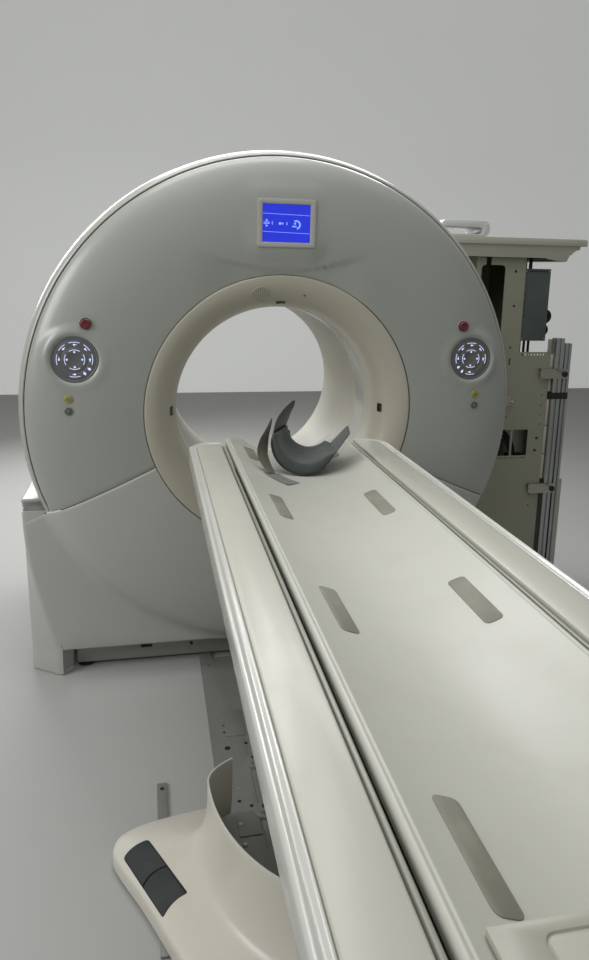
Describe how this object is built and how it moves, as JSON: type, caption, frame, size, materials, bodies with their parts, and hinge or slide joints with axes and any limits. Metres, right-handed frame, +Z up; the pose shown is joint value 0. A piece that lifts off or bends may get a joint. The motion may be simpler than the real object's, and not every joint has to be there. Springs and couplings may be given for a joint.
{
  "type": "ct scanner",
  "caption": "Ring gantry with a wide patient bore, lifting patient table with sliding cradle, foot pedals and an open service side",
  "frame": {"origin": "on the floor under the bore axis, at the gantry's front reference plane", "axes": "+X to the right seen from the table, +Y along the bore into the gantry, +Z up"},
  "size_m": [2.4229, 3.456, 2.005],
  "materials": {
    "face_shell": "glossy moulded cover, cool light grey",
    "cream_shell": "satin cream moulded cover",
    "table_white": "satin warm off-white cover",
    "edge_white": "glossy white profile",
    "cradle_white": "glossy off-white laminate",
    "pad_grey": "matt warm grey grip strip",
    "window_clear": "thin pale film window",
    "frame_paint": "olive grey paint on folded steel",
    "dark_steel": "bare machined steel",
    "rotor_metal": "cast and machined aluminium",
    "copper": "copper windings and tracks",
    "unit_grey": "light grey paint on unit housings",
    "unit_dark": "dark paint on unit housings",
    "supply_blue": "blue-grey paint",
    "duct_white": "white plastic duct",
    "profile_alu": "anodised extrusion",
    "strap_black": "woven black strap",
    "side_grey": "blue-grey paint",
    "cable_black": "black cable jackets",
    "display_blue": "lit blue panel",
    "keypad_grey": "dark membrane with pale marks",
    "lamp_amber": "yellow and grey ringed lamps",
    "laser_dark": "dark window",
    "stop_red": "dark red button cap",
    "pedal_rubber": "dark green-grey ribbed rubber",
    "column_metal": "light grey paint on steel tube",
    "roller_nylon": "pale nylon",
    "foot_rubber": "black rubber and steel",
    "base_cream": "warm ivory moulded cover",
    "holder_foam": "slate grey foam in a dark shell",
    "strap_brown": "dark brown woven strap"
  },
  "bodies": {
    "gantry": {"floor_plates": "dark_steel", "base_frame": "frame_paint", "levelling_feet": "foot_rubber", "stator_frame": "unit_grey", "bearing_outer": "dark_steel", "motor_stator": "copper", "rear_tunnel": "cream_shell", "scan_window": "window_clear", "upper_front_cover": "face_shell", "lower_front_cover": "cream_shell", "rim_band": "cream_shell", "rear_cover": "cream_shell", "left_side_cover": "cream_shell", "left_shoulder_cap": "cream_shell", "display_bezel": "face_shell", "display_screen": "display_blue", "keypads": "keypad_grey", "indicator_lamps": "lamp_amber", "laser_windows": "laser_dark", "speaker_grille": "cream_shell", "service_column": "frame_paint", "service_panel": "frame_paint", "power_supply": "supply_blue", "side_top_cover": "cream_shell", "vent_duct": "duct_white", "rail_profiles": "profile_alu", "rail_brackets": "frame_paint", "rail_strap": "strap_black", "grey_side_panel": "side_grey", "cable_harness": "cable_black", "table_base_plate": "dark_steel", "table_base_cover": "base_cream", "column_outer": "column_metal"},
    "rotor": {"rotor_drum": "rotor_metal", "bearing_inner": "dark_steel", "xray_tube": "unit_grey", "collimator": "unit_dark", "detector": "unit_dark", "hv_generator": "unit_grey", "cooling_unit": "rotor_metal", "slip_ring": "copper", "balance_weight": "unit_dark"},
    "middle_stage": {"column_middle": "column_metal"},
    "table_top": {"column_inner": "column_metal", "table_frame": "unit_grey", "table_undercover": "table_white", "table_side_covers": "table_white", "edge_profiles": "edge_white", "cradle_rollers": "roller_nylon"},
    "cradle_board": {"cradle": "cradle_white", "cradle_pads": "pad_grey", "foot_plate": "table_white", "head_holder": "holder_foam", "head_strap": "strap_brown"},
    "left_stop": {"left_stop_button": "stop_red"},
    "right_stop": {"right_stop_button": "stop_red"},
    "left_raise": {"left_raise_pedal": "pedal_rubber"},
    "left_lower": {"left_lower_pedal": "pedal_rubber"},
    "right_raise": {"right_raise_pedal": "pedal_rubber"},
    "right_lower": {"right_lower_pedal": "pedal_rubber"}
  },
  "joints": [
    {"name": "rotor_spin", "type": "hinge", "parent": "gantry", "child": "rotor", "pos_m": [0, 0, 1.045], "axis": [0, 1, 0], "continuous": true},
    {"name": "lift_middle", "type": "slide", "parent": "gantry", "child": "middle_stage", "axis": [0, 0, 1], "range_m": [-0.215, 0]},
    {"name": "lift_top", "type": "slide", "parent": "middle_stage", "child": "table_top", "axis": [0, 0, 1], "range_m": [-0.215, 0]},
    {"name": "cradle_slide", "type": "slide", "parent": "table_top", "child": "cradle_board", "axis": [0, 1, 0], "range_m": [0, 1.6]},
    {"name": "left_stop_press", "type": "slide", "parent": "gantry", "child": "left_stop", "axis": [0, 1, 0], "range_m": [0, 0.004], "stiffness_N_per_m": 2500, "springref_m": -0.001},
    {"name": "right_stop_press", "type": "slide", "parent": "gantry", "child": "right_stop", "axis": [0, 1, 0], "range_m": [0, 0.004], "stiffness_N_per_m": 2500, "springref_m": -0.001},
    {"name": "left_raise_press", "type": "hinge", "parent": "gantry", "child": "left_raise", "pos_m": [-0.46987, -0.98302, 0.07051], "axis": [0.4446, -0.8957, 0], "range_deg": [0, 5], "stiffness_Nm_per_rad": 20, "springref_deg": -2.86},
    {"name": "left_lower_press", "type": "hinge", "parent": "gantry", "child": "left_lower", "pos_m": [-0.46987, -0.98302, 0.07051], "axis": [0.4446, -0.8957, 0], "range_deg": [0, 5], "stiffness_Nm_per_rad": 20, "springref_deg": -2.86},
    {"name": "right_raise_press", "type": "hinge", "parent": "gantry", "child": "right_raise", "pos_m": [0.46987, -0.98302, 0.07051], "axis": [0.4446, 0.8957, 0], "range_deg": [0, 5], "stiffness_Nm_per_rad": 20, "springref_deg": -2.86},
    {"name": "right_lower_press", "type": "hinge", "parent": "gantry", "child": "right_lower", "pos_m": [0.46987, -0.98302, 0.07051], "axis": [0.4446, 0.8957, 0], "range_deg": [0, 5], "stiffness_Nm_per_rad": 20, "springref_deg": -2.86}
  ],
  "couplings": [
    {"joint": "lift_top", "follows": "lift_middle", "ratio": 1}
  ]
}
